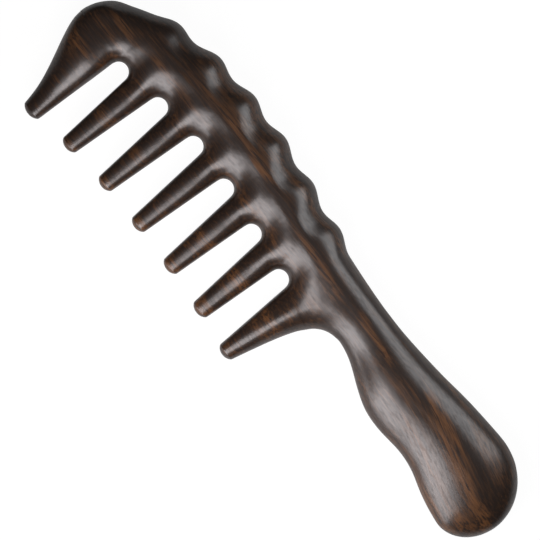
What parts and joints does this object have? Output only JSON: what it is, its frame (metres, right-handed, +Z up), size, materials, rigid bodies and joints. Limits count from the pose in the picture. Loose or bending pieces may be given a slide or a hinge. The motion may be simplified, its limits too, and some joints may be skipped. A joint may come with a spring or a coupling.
{
  "type": "wooden wide-tooth comb",
  "caption": "Dark wooden wide-tooth comb with a lobed back, tapered round-tipped teeth pegged into the head, and a bulb-ended handle tenoned into the neck.",
  "frame": {"origin": "middle of the comb's box on the table it lies on", "axes": "+X from the nose of the head to the end of the handle, -Y the way the teeth point, +Z up through the thickness"},
  "size_m": [0.19, 0.054, 0.016],
  "materials": {
    "dark_wood": "satin oiled"
  },
  "bodies": {
    "root": {"head": "dark_wood", "tooth_1": "dark_wood", "tooth_2": "dark_wood", "tooth_3": "dark_wood", "tooth_4": "dark_wood", "tooth_5": "dark_wood", "tooth_6": "dark_wood", "tooth_7": "dark_wood", "handle": "dark_wood"}
  },
  "joints": []
}
